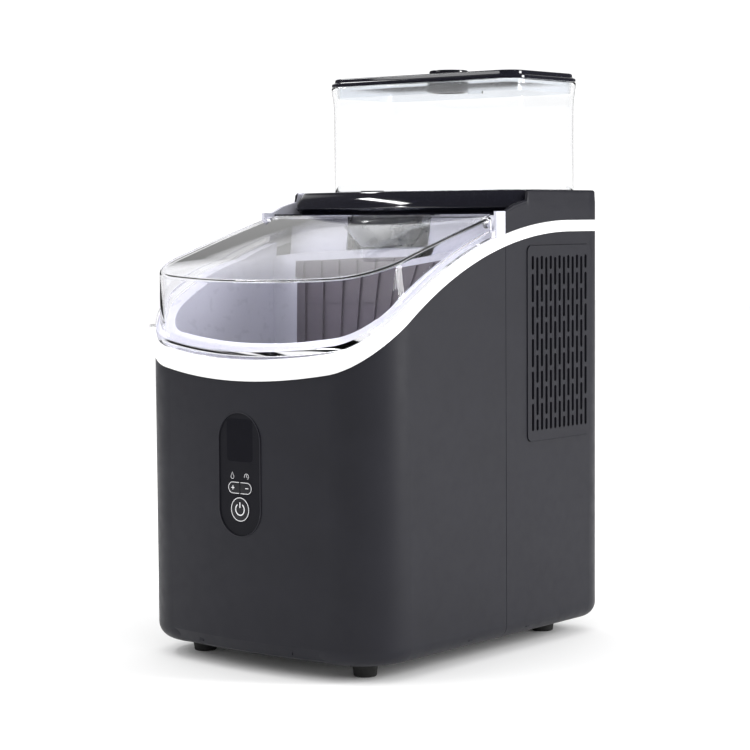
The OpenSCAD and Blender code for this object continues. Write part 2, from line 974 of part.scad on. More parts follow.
module auger_bearings() {
    color("goldenrod") translate([0, unit_y, 0]) {
        translate([0, 0, 296]) difference() {
            ring(20, shaft_r + run_gap, 5);
            for (a = [0:60:300]) rotate(a) translate([13, 0, -1]) cylinder(r = 4, h = 7);
        }
        translate([0, 0, 174]) ring(22, shaft_r + run_gap, 6);
    }
}

// A spur gear's outline with straight-sided teeth
module gear_outline(teeth) {
    pitch_r = gear_m * teeth / 2;
    tip = pitch_r + gear_m * 0.8;
    root = pitch_r - gear_m * 1.05;
    step = 360 / teeth;
    union() {
        circle(r = root);
        for (i = [0:teeth - 1]) rotate(i * step)
            polygon([[root * 0.9, -gear_m * 0.85], [root, -gear_m * 0.85], [tip, -gear_m * 0.35],
                     [tip, gear_m * 0.35], [root, gear_m * 0.85], [root * 0.9, gear_m * 0.85]]);
    }
}

module auger_gear() {
    color("ivory") translate([0, unit_y, gear_z]) linear_extrude(8) difference() {
        gear_outline(gear_n);
        circle(r = shaft_r);
    }
}

module motor_pinion() {
    color("gold") translate([pinion_x, unit_y, gear_z]) rotate([0, 0, 180 / pinion_n])
        linear_extrude(9) difference() {
            gear_outline(pinion_n);
            circle(r = 3 + run_gap);
        }
}

module gearbox_outline(grow) {
    translate([0, unit_y]) circle(r = 34 + grow);
    translate([pinion_x, unit_y]) circle(r = 12 + grow);
    translate([0, unit_y - 12 - grow]) square([pinion_x, 24 + 2 * grow]);
}

module gearbox() {
    floor_z = 146;
    color("gray") difference() {
        translate([0, 0, floor_z]) linear_extrude(28) gearbox_outline(2);
        translate([0, 0, floor_z + 3]) linear_extrude(22) gearbox_outline(0);
        translate([0, unit_y, floor_z + 20]) cylinder(r = shaft_r + run_gap, h = 20);
        translate([pinion_x, unit_y, floor_z - 1]) cylinder(r = 3.5, h = 6);
    }
}

module gear_motor() {
    color("silver") translate([pinion_x, unit_y, 0]) {
        translate([0, 0, 92]) cylinder(r = 19, h = 54);
        translate([0, 0, 146]) cylinder(r = 3, h = 13);
        translate([0, 0, tray_top]) ring(16, 13, 92 - tray_top);
    }
}

// ---- refrigeration ----

module compressor() {
    low = 27;
    high = 140;
    dome = 16;
    stub_z = 148;
    color([0.1, 0.1, 0.1]) {
        translate([comp_x, comp_y, 0]) {
            rotate_extrude() {
                translate([0, low + dome]) square([comp_r, high - low - 2 * dome]);
                translate([0, low]) square([comp_r - dome, high - low]);
                for (z = [low + dome, high - dome]) intersection() {
                    translate([comp_r - dome, z]) circle(r = dome);
                    square([comp_r, high]);
                }
            }
            translate([0, 0, 88]) cylinder(r = comp_r + 2, h = 4);
            for (x = [-12, 12]) translate([x, 0, high - 5]) cylinder(r = 3.2, h = stub_z - high + 5);
        }
        translate([comp_x - 40, comp_y - 36, 24]) difference() {
            cube([80, 72, 3]);
            for (x = [9, 71], y = [9, 63]) translate([x, y, -1]) cylinder(r = 3, h = 5);
        }
    }
}

module compressor_grommets() {
    color([0.15, 0.15, 0.15]) for (x = [-31, 31], y = [-27, 27])
        translate([comp_x + x, comp_y + y, tray_top]) ring(7, 3, 24 - tray_top);
}

module condenser() {
    fins = 19;
    color("silver") {
        for (i = [0:fins - 1]) translate([92, 46 + i * 4.5, 170]) cube([18, 0.8, 136]);
        for (i = [0:5]) rod([101, 44, 182 + i * 22.4], [101, 130, 182 + i * 22.4], 4);
    }
}

module fan_unit() {
    color([0.15, 0.15, 0.17]) {
        // shroud plate with its opening, and walls back to the condenser
        difference() {
            translate([72, 42, 168]) cube([20, 90, 140]);
            translate([75, 45, 171]) cube([20, 84, 134]);
            translate([60, fan_y, fan_z]) rotate([0, 90, 0]) cylinder(r = fan_r + 3, h = 20);
        }
        // ring with arms that hold the motor
        translate([56, fan_y, fan_z]) rotate([0, 90, 0]) {
            ring(fan_r + 6, fan_r + 3, 16);
            difference() {
                for (a = [0, 90, 180, 270]) rotate([0, 0, a]) translate([18, -3, 0]) cube([fan_r - 13, 6, 3]);
                translate([0, 0, -1]) cylinder(r = 18, h = 5);
            }
        }
        // motor can and shaft
        translate([44, fan_y, fan_z]) rotate([0, 90, 0]) cylinder(r = 19, h = 17);
        translate([61, fan_y, fan_z]) rotate([0, 90, 0]) cylinder(r = 2.5, h = 12);
    }
}

module fan_rotor() {
    hub_x = 62.5;
    pitch = 38;
    color("ivory") translate([hub_x, fan_y, fan_z]) rotate([0, 90, 0]) difference() {
        union() {
            cylinder(r = 13, h = 10);
            for (i = [0:fan_blades - 1]) rotate([0, 0, i * 360 / fan_blades])
                translate([11, 0, 5]) rotate([pitch, 0, 0]) translate([0, -7, -0.6])
                    cube([fan_r - 12, 14, 1.2]);
        }
        translate([0, 0, -1]) cylinder(r = 2.5 + run_gap, h = 20);
    }
}

module refrigerant_tubes() {
    r = 2.6;
    drier_x = 40;
    drier_y = 138;
    riser_y = 147;
    color("peru") {
        tube([[comp_x + 12, comp_y, 148], [comp_x + 12, comp_y, 160], [comp_x + 12, riser_y, 160],
              [101, riser_y, 160], [101, riser_y, 294], [101, 130, 294]], r);
        tube([[101, 130, 182], [101, 136, 182], [drier_x, 136, 182], [drier_x, drier_y, 140]], r);
        translate([drier_x, drier_y, 62]) cylinder(r = 8, h = 78);
        tube([[drier_x, drier_y, 62], [drier_x, drier_y, 50], [12, drier_y, 50], [12, drier_y, 200],
              [12, 92.2, 200]], 1.6);
        tube([[-12, 92.2, 280], [-12, 118, 280], [comp_x - 12, 118, 280], [comp_x - 12, comp_y, 280],
              [comp_x - 12, comp_y, 148]], r);
    }
}

module main_board() {
    color("darkgreen") {
        translate([-112, 35, 185]) cube([1.6, 100, 110]);
        for (y = [45, 70, 95]) translate([-110.4, y, 195]) cube([15, 18, 18]);
        for (y = [50, 80]) translate([-110.4, y, 240]) cube([18, 24, 28]);
        translate([-110.4, 112, 200]) cube([9, 14, 70]);
    }
}

// Mains inlet socket, recessed in the back
module power_inlet() {
    color([0.08, 0.08, 0.08]) translate([inlet_x, half_d, inlet_z]) {
        difference() {
            translate([-15, -22, -12]) cube([30, 22, 24]);
            translate([-12, -17, -9]) cube([24, 18, 18]);
        }
        // contact blades
        for (p = [[-7, -2], [0, 3], [7, -2]]) translate([p.x - 1, -17, p.y - 2]) cube([2, 10, 4]);
    }
}

base_tray();
foot_front_left();
foot_front_right();
foot_rear_left();
foot_rear_right();
front_shell();
rear_shell();
trim_band();
top_collar();
deck_base();
top_deck();
grille_left();
grille_right();
hinge_cheek_left();
hinge_cheek_right();
case_screws();
lid();
lid_hinge_pins();
bin_liner();
outlet_cover();
ice_chute();
ice_sensor();
ice_basket();
ice_scoop();
control_bezel();
display_window();
power_button();
key_plus();
key_minus();
control_board();
water_tank();
tank_lid();
tank_lid_skirt();
fill_cap();
tank_valve();
valve_spring();
valve_seat();
fill_tube();
water_reservoir();
water_float();
water_pump();
pump_hose();
drain_hose();
drain_plug();
evaporator();
evaporator_jacket();
auger();
auger_bearings();
auger_gear();
motor_pinion();
gearbox();
gear_motor();
compressor();
compressor_grommets();
condenser();
fan_unit();
fan_rotor();
refrigerant_tubes();
main_board();
power_inlet();
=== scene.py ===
import math

import bmesh
import bpy
from mathutils import Matrix, Vector
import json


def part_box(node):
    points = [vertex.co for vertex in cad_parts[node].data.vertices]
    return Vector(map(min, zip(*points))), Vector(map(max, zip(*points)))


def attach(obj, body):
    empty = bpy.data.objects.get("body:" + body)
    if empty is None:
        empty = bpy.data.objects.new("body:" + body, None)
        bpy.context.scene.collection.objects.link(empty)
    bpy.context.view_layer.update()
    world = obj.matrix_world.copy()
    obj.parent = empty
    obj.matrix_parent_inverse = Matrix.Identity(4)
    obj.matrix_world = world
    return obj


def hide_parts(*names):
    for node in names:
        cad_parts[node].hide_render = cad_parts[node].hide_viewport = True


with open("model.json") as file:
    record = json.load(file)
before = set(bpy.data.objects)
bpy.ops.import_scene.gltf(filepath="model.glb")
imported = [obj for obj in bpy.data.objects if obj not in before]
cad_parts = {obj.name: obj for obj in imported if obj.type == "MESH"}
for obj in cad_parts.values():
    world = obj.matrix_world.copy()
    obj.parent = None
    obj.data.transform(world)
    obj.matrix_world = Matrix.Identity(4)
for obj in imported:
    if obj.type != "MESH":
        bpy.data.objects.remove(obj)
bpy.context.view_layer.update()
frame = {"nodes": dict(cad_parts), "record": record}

MM = 0.001

# ---- sizes, in metres, read from the frame where it has them ----

shell_low, shell_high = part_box("front_shell")
tank_low, tank_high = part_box("water_tank")
deck_low, deck_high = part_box("top_deck")
HALF_W = shell_high.x
HALF_D = -shell_low.y
FRONT_R = 47 * MM
BOW_R = 470 * MM
REAR_R = 28 * MM
WALL = 2.5 * MM

# the white trim follows a large arc, then runs level to the back
ARC_Y = 100 * MM
ARC_Z = -34.6 * MM
BAND_LOW = 360 * MM
BAND_HIGH = 369 * MM
BAND_PROUD = 1.5 * MM

DECK_TOP = deck_high.z
DECK_CENTRE = 311.3 * MM
DECK_CREASE_R = 300 * MM
DECK_TOP_R = 289.6 * MM
DECK_LOW_R = 293.8 * MM
DECK_CREASE = 345 * MM
DECK_SIDE = 3 * MM
COLLAR_FRONT = 14.85 * MM

# centres of the tank's outlet and of its filler, seen from above
OUTLET = (-60 * MM, 75 * MM)
FILLER = (0, 101 * MM)
FILLER_R = 14.5 * MM


# ---- node helpers ----


def new_material(name):
    material = bpy.data.materials.new(name)
    material.use_nodes = True
    tree = material.node_tree
    return material, tree, tree.nodes["Principled BSDF"]


def add_node(tree, kind, **values):
    node = tree.nodes.new(kind)
    for key, value in values.items():
        setattr(node, key, value)
    return node


def object_coords(tree, stretch=(1, 1, 1)):
    """The row frame's coordinates, in metres, stretched along each axis."""
    coords = add_node(tree, "ShaderNodeTexCoord")
    mapping = add_node(tree, "ShaderNodeMapping")
    mapping.inputs["Scale"].default_value = stretch
    tree.links.new(coords.outputs["Object"], mapping.inputs["Vector"])
    return mapping.outputs["Vector"]


def noise(tree, size, detail, stretch=(1, 1, 1)):
    """Noise with features about size metres across."""
    texture = add_node(tree, "ShaderNodeTexNoise")
    texture.inputs["Scale"].default_value = 1 / size
    texture.inputs["Detail"].default_value = detail
    tree.links.new(object_coords(tree, stretch), texture.inputs["Vector"])
    return texture.outputs["Fac"]


def spread(tree, value, low, high, start=0.3, end=0.7):
    """Maps value from start..end to low..high."""
    node = add_node(tree, "ShaderNodeMapRange")
    node.inputs["From Min"].default_value = start
    node.inputs["From Max"].default_value = end
    node.inputs["To Min"].default_value = low
    node.inputs["To Max"].default_value = high
    tree.links.new(value, node.inputs["Value"])
    return node.outputs["Result"]


def blend_colour(tree, factor, first, second):
    node = add_node(tree, "ShaderNodeMix", data_type="RGBA")
    tree.links.new(factor, node.inputs["Factor"])
    for socket, colour in (("A", first), ("B", second)):
        target = [s for s in node.inputs if s.name == socket and s.type == "RGBA"][0]
        if isinstance(colour, tuple):
            target.default_value = (*colour, 1)
        else:
            tree.links.new(colour, target)
    return [s for s in node.outputs if s.type == "RGBA"][0]


def bump(tree, shader, height, depth):
    """Gives shader a bump of depth metres from height."""
    node = add_node(tree, "ShaderNodeBump")
    node.inputs["Distance"].default_value = depth
    tree.links.new(height, node.inputs["Height"])
    tree.links.new(node.outputs["Normal"], shader.inputs["Normal"])


def edge_nearness(tree, radius):
    """About 1 within radius of a sharp edge and 0 on flat faces."""
    soft = add_node(tree, "ShaderNodeBevel", samples=4)
    soft.inputs["Radius"].default_value = radius
    flat = add_node(tree, "ShaderNodeNewGeometry")
    dot = add_node(tree, "ShaderNodeVectorMath", operation="DOT_PRODUCT")
    tree.links.new(soft.outputs["Normal"], dot.inputs[0])
    tree.links.new(flat.outputs["Normal"], dot.inputs[1])
    return spread(tree, dot.outputs["Value"], 1, 0, start=0.85, end=0.99)


# ---- materials ----


def scaled(colour, factor):
    return tuple(min(1, c * factor) for c in colour)


def moulded(
    name, colour, rough, grain=0.35 * MM, depth=0.012 * MM, edge_highlight=0.0, specular=0.5, uneven=0.06
):
    """Matte plastic with spark-eroded grain, faint mottling and edges lightened as a painted
    highlight.
    """
    material, tree, shader = new_material(name)
    mottle = noise(tree, 35 * MM, 3)
    light, dark = scaled(colour, 1 + uneven), scaled(colour, 1 - uneven)
    base = blend_colour(tree, spread(tree, mottle, 0, 1), dark, light)
    # Painted highlight: the colour is lightened near sharp edges, standing in for light caught on
    # rounded edges.
    if edge_highlight:
        highlight_mask = edge_nearness(tree, 0.5 * MM)
        highlight_amount = spread(tree, highlight_mask, 0, edge_highlight, 0, 1)
        base = blend_colour(tree, highlight_amount, base, scaled(colour, 1.9))
    tree.links.new(base, shader.inputs["Base Color"])
    patch = noise(tree, 9 * MM, 4)
    tree.links.new(spread(tree, patch, rough - 0.05, rough + 0.05), shader.inputs["Roughness"])
    shader.inputs["Specular IOR Level"].default_value = specular
    bump(tree, shader, noise(tree, grain, 2), depth)
    return material


def gloss(name, colour, rough=0.06):
    """Polished plastic with slight waviness and faint handling marks."""
    wave = 0.003 * MM
    grey_dust = (0.2, 0.2, 0.22)
    material, tree, shader = new_material(name)
    smear = noise(tree, 22 * MM, 5, (1, 1.6, 1))
    rougher = spread(tree, smear, rough, rough + 0.05, 0.45, 0.75)
    tree.links.new(rougher, shader.inputs["Roughness"])
    dust = noise(tree, 1.2 * MM, 2)
    base = blend_colour(tree, spread(tree, dust, 0, 0.25, 0.66, 0.8), colour, grey_dust)
    tree.links.new(base, shader.inputs["Base Color"])
    shader.inputs["Coat Weight"].default_value = 0.4
    shader.inputs["Coat Roughness"].default_value = 0.03
    bump(tree, shader, noise(tree, 14 * MM, 1), wave)
    return material


def clear(name, tint, rough=0.01, ior=1.46, haze=0.0):
    """Clear plastic that lets lamps through, with faint flow marks."""
    material, tree, shader = new_material(name)
    shader.inputs["Base Color"].default_value = (*tint, 1)
    shader.inputs["Transmission Weight"].default_value = 1
    shader.inputs["IOR"].default_value = ior
    marks = noise(tree, 18 * MM, 3)
    rougher = spread(tree, marks, rough, rough + 0.02 + haze, 0.4, 0.8)
    tree.links.new(rougher, shader.inputs["Roughness"])
    bump(tree, shader, noise(tree, 30 * MM, 1), 0.004 * MM)
    through = add_node(tree, "ShaderNodeBsdfTransparent")
    through.inputs["Color"].default_value = (*tint, 1)
    path = add_node(tree, "ShaderNodeLightPath")
    mix = add_node(tree, "ShaderNodeMixShader")
    tree.links.new(path.outputs["Is Shadow Ray"], mix.inputs[0])
    tree.links.new(shader.outputs[0], mix.inputs[1])
    tree.links.new(through.outputs[0], mix.inputs[2])
    tree.links.new(mix.outputs[0], tree.nodes["Material Output"].inputs["Surface"])
    return material


def metal(name, colour, rough, stretch=(1, 1, 1), depth=0.002 * MM):
    """Metal with drawn or brushed streaks and dull patches."""
    streak = 0.4 * MM
    material, tree, shader = new_material(name)
    shader.inputs["Metallic"].default_value = 1
    dull = noise(tree, 16 * MM, 4)
    base = blend_colour(tree, spread(tree, dull, 0, 1), scaled(colour, 0.85), colour)
    tree.links.new(base, shader.inputs["Base Color"])
    lines = noise(tree, streak, 3, stretch)
    tree.links.new(spread(tree, lines, rough - 0.08, rough + 0.08), shader.inputs["Roughness"])
    bump(tree, shader, lines, depth)
    return material


def circuit_board(name):
    """Green solder mask over faint copper tracks."""
    material, tree, shader = new_material(name)
    tracks = add_node(tree, "ShaderNodeTexBrick")
    tracks.inputs["Scale"].default_value = 1 / (9 * MM)
    tracks.inputs["Mortar Size"].default_value = 0.06
    tree.links.new(object_coords(tree), tracks.inputs["Vector"])
    base = blend_colour(tree, tracks.outputs["Fac"], (0.01, 0.07, 0.03), (0.03, 0.16, 0.07))
    tree.links.new(base, shader.inputs["Base Color"])
    shader.inputs["Roughness"].default_value = 0.35
    bump(tree, shader, tracks.outputs["Fac"], 0.03 * MM)
    return material


# Each material's edge-lightening amount sets a painted highlight on its edges.
MATERIALS = {
    "casing": moulded("casing", (0.013, 0.013, 0.018), 0.45, edge_highlight=0.35, specular=0.2),
    "trim": moulded("trim", (0.86, 0.86, 0.86), 0.3, depth=0.004 * MM, uneven=0.01),
    "gloss_black": gloss("gloss_black", (0.008, 0.008, 0.013)),
    "clear_lid": clear("clear_lid", (0.95, 0.95, 0.972), ior=1.32),
    "clear_tank": clear("clear_tank", (0.985, 0.99, 0.995)),
    "skirt": clear("skirt", (0.86, 0.88, 0.91), 0.12),
    "liner": moulded("liner", (0.60, 0.60, 0.68), 0.3, depth=0.004 * MM, uneven=0.02),
    "smoked": gloss("smoked", (0.115, 0.098, 0.12), 0.2),
    "frosted": clear("frosted", (0.86, 0.88, 0.93), 0.25, haze=0.1),
    "basket": clear("basket", (0.9, 0.92, 0.96), 0.12, haze=0.05),
    "scoop": clear("scoop", (0.85, 0.9, 0.96), 0.08),
    "rubber": moulded("rubber", (0.012, 0.012, 0.012), 0.75, grain=0.8 * MM, depth=0.02 * MM),
    "base": moulded("base", (0.03, 0.03, 0.033), 0.55, grain=0.7 * MM, edge_highlight=0.2),
    "screws": metal("screws", (0.62, 0.62, 0.6), 0.32),
    "sensor": gloss("sensor", (0.015, 0.012, 0.014), 0.1),
    "panel": moulded(
        "panel", (0.008, 0.008, 0.011), 0.45, depth=0.006 * MM, edge_highlight=0.3, specular=0.08
    ),
    "display": moulded("display", (0.005, 0.005, 0.008), 0.5, depth=0.001 * MM, specular=0.06),
    "inlet": moulded("inlet", (0.02, 0.02, 0.02), 0.5),
    "keys": moulded(
        "keys", (0.011, 0.011, 0.014), 0.36, depth=0.006 * MM, edge_highlight=0.35, specular=0.2
    ),
    "board": circuit_board("board"),
    "seat": moulded("seat", (0.1, 0.1, 0.11), 0.45),
    "hose": moulded("hose", (0.6, 0.6, 0.57), 0.45, grain=2 * MM),
    "float": moulded("float", (0.62, 0.2, 0.03), 0.6, grain=1.2 * MM, depth=0.03 * MM),
    "pump": moulded("pump", (0.025, 0.025, 0.03), 0.45, edge_highlight=0.2),
    "steel": metal("steel", (0.62, 0.62, 0.62), 0.25, (1, 1, 14)),
    "foam": moulded("foam", (0.035, 0.035, 0.035), 0.9, grain=1.5 * MM, depth=0.15 * MM),
    "bronze": metal("bronze", (0.5, 0.33, 0.15), 0.45, depth=0.006 * MM),
    "gear": moulded("gear", (0.68, 0.66, 0.56), 0.4, edge_highlight=0.2),
    "brass_gear": metal("brass_gear", (0.72, 0.55, 0.26), 0.3, (1, 1, 10)),
    "gearbox": metal("gearbox", (0.45, 0.45, 0.47), 0.45, depth=0.01 * MM),
    "compressor": moulded("compressor", (0.012, 0.012, 0.012), 0.3, grain=1.2 * MM, edge_highlight=0.2),
    "fins": metal("fins", (0.72, 0.73, 0.75), 0.3, (1, 1, 10)),
    "copper": metal("copper", (0.72, 0.36, 0.22), 0.28, (6, 1, 1)),
    "ink": moulded("ink", (0.80, 0.80, 0.82), 0.5, depth=0.002 * MM),
}


def dress_cad():
    """Gives each CAD node its material and smooth shading."""
    for part in frame["record"]["subparts"]:
        obj = frame["nodes"][part["node"]]
        obj.data.materials.clear()
        obj.data.materials.append(MATERIALS[part["material_slot"]])
        obj.data.polygons.foreach_set("use_smooth", [True] * len(obj.data.polygons))


# ---- mesh helpers ----


def finish_mesh(name, mesh_data, slot, body="root", replaces=(), material=None):
    """Makes an object from a bmesh, with recalculated normals, and puts it in the frame."""
    bmesh.ops.remove_doubles(mesh_data, verts=mesh_data.verts, dist=0.002 * MM)
    bmesh.ops.recalc_face_normals(mesh_data, faces=mesh_data.faces)
    mesh = bpy.data.meshes.new(name)
    mesh_data.to_mesh(mesh)
    mesh_data.free()
    obj = bpy.data.objects.new(name, mesh)
    bpy.context.scene.collection.objects.link(obj)
    mesh.materials.append(MATERIALS[material or slot])
    for face in mesh.polygons:
        face.use_smooth = True
    mesh.set_sharp_from_angle(angle=math.radians(34))
    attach(obj, body)
    if replaces:
        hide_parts(*replaces)
    return obj


def skin(mesh_data, rings, caps=True, loop=False):
    """Joins closed rings of equal length with quads. loop also joins the last to the first."""
    made = [[mesh_data.verts.new(p) for p in ring] for ring in rings]
    count = len(made[0])
    last = len(made) if loop else len(made) - 1
    for i in range(last):
        a, b = made[i], made[(i + 1) % len(made)]
        for j in range(count):
            k = (j + 1) % count
            mesh_data.faces.new((a[j], a[k], b[k], b[j]))
    if caps and not loop:
        mesh_data.faces.new(made[0])
        mesh_data.faces.new(made[-1])
    return made


def arc_points(centre, radius, start, end, steps):
    """Points on an arc in a plane, as (u, v) pairs, angles in degrees."""
    angles = [math.radians(start + (end - start) * i / steps) for i in range(steps + 1)]
    return [(centre[0] + radius * math.cos(a), centre[1] + radius * math.sin(a)) for a in angles]


def circle_points(centre, radius, count):
    """Points round a whole circle, without repeating the first."""
    return arc_points(centre, radius, 0, 360 * (count - 1) / count, count - 1)


def lathe(mesh_data, profile, place, steps=64):
    """Turns (radius, height) points about the vertical through place."""
    rings = []
    for radius, height in profile:
        ring = []
        for i in range(steps):
            a = 2 * math.pi * i / steps
            ring.append(place @ Vector((radius * math.cos(a), radius * math.sin(a), height)))
        rings.append(ring)
    skin(mesh_data, rings)


def box_outline(width, depth, radius, centre, steps):
    """A rounded rectangle seen from above, anticlockwise, as (x, y) pairs."""
    points = []
    for sx, sy, start in ((1, -1, -90), (1, 1, 0), (-1, 1, 90), (-1, -1, 180)):
        corner = (centre[0] + sx * (width / 2 - radius), centre[1] + sy * (depth / 2 - radius))
        points += arc_points(corner, radius, start, start + 90, steps)
    return points


# ---- the casing's outline ----


def casing_outline(step=3 * MM):
    """Points round the casing from above with outward normals, from the middle of the front."""
    points = []

    def straight(x0, y0, x1, y1, normal):
        count = max(1, math.ceil(math.hypot(x1 - x0, y1 - y0) / step))
        for i in range(count):
            t = i / count
            points.append((x0 + (x1 - x0) * t, y0 + (y1 - y0) * t, *normal))

    def bend(cx, cy, radius, start, end, count):
        for i in range(count):
            a = math.radians(start + (end - start) * i / count)
            nx, ny = math.cos(a), math.sin(a)
            points.append((cx + radius * nx, cy + radius * ny, nx, ny))

    w, d, f, r = HALF_W, HALF_D, FRONT_R, REAR_R
    bow_y = BOW_R - d
    cx = w - f
    cy = bow_y - math.sqrt((BOW_R - f) ** 2 - cx**2)
    lean = math.degrees(math.atan2(cx, bow_y - cy))
    across = math.ceil(BOW_R * math.radians(lean) / step)
    bend(0, bow_y, BOW_R, -90, lean - 90, across)
    bend(cx, cy, f, lean - 90, 0, 24)
    straight(w, cy, w, d - r, (1, 0))
    bend(w - r, d - r, r, 0, 90, 24)
    straight(w - r, d, r - w, d, (0, 1))
    bend(r - w, d - r, r, 90, 180, 24)
    straight(-w, d - r, -w, cy, (-1, 0))
    bend(-cx, cy, f, 180, 270 - lean, 24)
    bend(0, bow_y, BOW_R, -90 - lean, -90, across)
    return points


def arc_height(y, radius):
    """Height of the trim's arc of that radius above a point at depth y."""
    if y >= ARC_Y:
        return ARC_Z + radius
    return ARC_Z + math.sqrt(radius**2 - (y - ARC_Y) ** 2)


def trim_band():
    """The white band, with its outer edges rounded."""
    soft = 1.0 * MM
    rows = [(-WALL, BAND_LOW), (BAND_PROUD - soft, BAND_LOW)]
    rows += arc_points((BAND_PROUD - soft, BAND_LOW + soft), soft, -75, 0, 5)
    rows += arc_points((BAND_PROUD - soft, BAND_HIGH - soft), soft, 0, 75, 5)
    rows += [(BAND_PROUD - soft, BAND_HIGH), (-WALL, BAND_HIGH)]
    mesh_data = bmesh.new()
    rings = []
    for x, y, nx, ny in casing_outline():
        ring = []
        for offset, radius in rows:
            py = y + ny * offset
            ring.append((x + nx * offset, py, arc_height(py, radius)))
        rings.append(ring)
    skin(mesh_data, rings, loop=True)
    return finish_mesh("trim_band_visual", mesh_data, "trim", replaces=["trim_band"])


def collar_height(y):
    """Top of the collar: it steps down where the deck leans forward."""
    knee, step = 26 * MM, 43.5 * MM
    front_z, knee_z, step_z = 342 * MM, 346.6 * MM, 350.5 * MM
    if y < knee:
        return front_z + (knee_z - front_z) * (y - COLLAR_FRONT) / (knee - COLLAR_FRONT)
    if y < step:
        return knee_z + (step_z - knee_z) * (y - knee) / (step - knee)
    rise = min(1, (y - step) / (1.2 * MM))
    return step_z + 7.5 * MM * math.sin(rise * math.pi / 2)


def top_collar():
    """Ring around the deck: a faint crease, a leaning upper face and a rounded top edge."""
    points = [p for p in casing_outline(1.2 * MM) if p[1] >= COLLAR_FRONT]
    half = [p for p in points if p[0] >= 0 and p[3] >= 0]
    right = sorted(half, key=lambda p: (round(p[1], 6), -p[0]))
    right.insert(0, (HALF_W, COLLAR_FRONT, 1, 0))
    left = [(-x, y, -nx, ny) for x, y, nx, ny in reversed(right)]
    mesh_data = bmesh.new()
    rings = []
    for x, y, nx, ny in right + left:
        low = arc_height(y, BAND_HIGH)
        top = collar_height(y)
        crease = min(349.6 * MM, top - 3 * MM)
        rows = [(-WALL, low), (0, low), (0, (low + crease) / 2), (0, crease - 0.3 * MM)]
        rows.append((-0.12 * MM, crease + 0.3 * MM))
        rows.append((-0.35 * MM, max(crease + 0.5 * MM, top - 4 * MM)))
        for u, v in arc_points((0, 0), 1, 15, 90, 5):
            rows.append((-0.35 * MM - 1.9 * MM * (1 - u), top - 2.2 * MM * (1 - v)))
        rows.append((-WALL, top))
        rings.append([(x + nx * o, y + ny * o, z) for o, z in rows])
    skin(mesh_data, rings)
    return finish_mesh("top_collar_visual", mesh_data, "casing", replaces=["top_collar"])


# ---- deck ----


def fill_with_hole(mesh_data, outer, inner):
    """Fills the face between two closed rings of vertices."""
    edges = []
    for ring in (outer, inner):
        for i, vert in enumerate(ring):
            after = ring[(i + 1) % len(ring)]
            edges.append(mesh_data.edges.get((vert, after)) or mesh_data.edges.new((vert, after)))
    bmesh.ops.triangle_fill(mesh_data, edges=edges, use_beauty=True)


def join_rings(mesh_data, first, second):
    count = len(first)
    for i in range(count):
        k = (i + 1) % count
        mesh_data.faces.new((first[i], first[k], second[k], second[i]))


def new_ring(mesh_data, points, z):
    return [mesh_data.verts.new((x, y, z)) for x, y in points]


def deck_outline(radius, side_inset):
    """The deck from above: a bowed front, rounded front corners, straight sides and back."""
    turn_r = 22 * MM
    x = HALF_W - side_inset
    rear_r = REAR_R - side_inset
    back = HALF_D - side_inset
    centre_x = x - turn_r
    centre_y = DECK_CENTRE - math.sqrt((radius - turn_r) ** 2 - centre_x**2)
    lean = math.degrees(math.atan2(centre_x, DECK_CENTRE - centre_y))
    front = arc_points((0, DECK_CENTRE), radius, -90, lean - 90, 40)
    turn = arc_points((centre_x, centre_y), turn_r, lean - 90, 0, 12)
    rear = arc_points((x - rear_r, back - rear_r), rear_r, 0, 90, 16)
    right = front[:-1] + turn + rear
    left = [(-px, py) for px, py in reversed(right)]
    return right + left[:-1]


def tank_outline(offset):
    """The water tank's outline from above, grown by offset."""
    steps = 10
    rim = 2 * MM
    corner = 16 * MM
    width = 2 * (tank_high.x - rim + offset)
    depth = tank_high.y - tank_low.y - 2 * rim + 2 * offset
    centre = (0, (tank_high.y + tank_low.y) / 2)
    return box_outline(width, depth, corner + offset, centre, steps)


def top_deck():
    """Piano-black deck with a sharp crease along its bowed front and a recess for the tank."""
    recess_z = 354 * MM
    seat_r = 14.1 * MM
    side = DECK_SIDE
    rows = [(DECK_LOW_R - 1 * MM, side + 0.8 * MM, deck_low.z)]
    rows.append((DECK_LOW_R, side, deck_low.z + 0.5 * MM))
    for u, v in arc_points((0, 0), 0.9 * MM, -50, 40, 6):
        rows.append((DECK_CREASE_R - 0.95 * MM + u, side, DECK_CREASE + v))
    slope_low = (DECK_CREASE_R - 0.25 * MM, DECK_CREASE + 0.6 * MM)
    slope_high = (DECK_TOP_R + 0.5 * MM, DECK_TOP - 1.1 * MM)
    for i in range(1, 10):
        t = i / 10
        swell = 1.1 * MM * math.sin(math.pi * t)
        radius = slope_low[0] + (slope_high[0] - slope_low[0]) * t + 0.78 * swell
        height = slope_low[1] + (slope_high[1] - slope_low[1]) * t + 0.62 * swell
        rows.append((radius, side, height))
    for u, v in arc_points((0, 0), 1.6 * MM, 32, 90, 6):
        inset = max(0, 1.3 * MM - u)
        rows.append((DECK_TOP_R - 1 * MM + u, side + inset, DECK_TOP - 1.6 * MM + v))
    mesh_data = bmesh.new()
    rings = [[(x, y, z) for x, y in deck_outline(radius, inset)] for radius, inset, z in rows]
    made = skin(mesh_data, rings, caps=False)
    lip = new_ring(mesh_data, tank_outline(0.7 * MM), DECK_TOP)
    fill_with_hole(mesh_data, made[-1], lip)
    soft = new_ring(mesh_data, tank_outline(0.4 * MM), DECK_TOP - 0.4 * MM)
    floor = new_ring(mesh_data, tank_outline(0.4 * MM), recess_z)
    join_rings(mesh_data, lip, soft)
    join_rings(mesh_data, soft, floor)
    hole = new_ring(mesh_data, circle_points(OUTLET, seat_r, 48), recess_z)
    fill_with_hole(mesh_data, floor, hole)
    hole_low = new_ring(mesh_data, circle_points(OUTLET, seat_r, 48), deck_low.z)
    join_rings(mesh_data, hole, hole_low)
    fill_with_hole(mesh_data, made[0], hole_low)
    return finish_mesh("top_deck_visual", mesh_data, "gloss_black", replaces=["top_deck"])


# ---- water tank ----


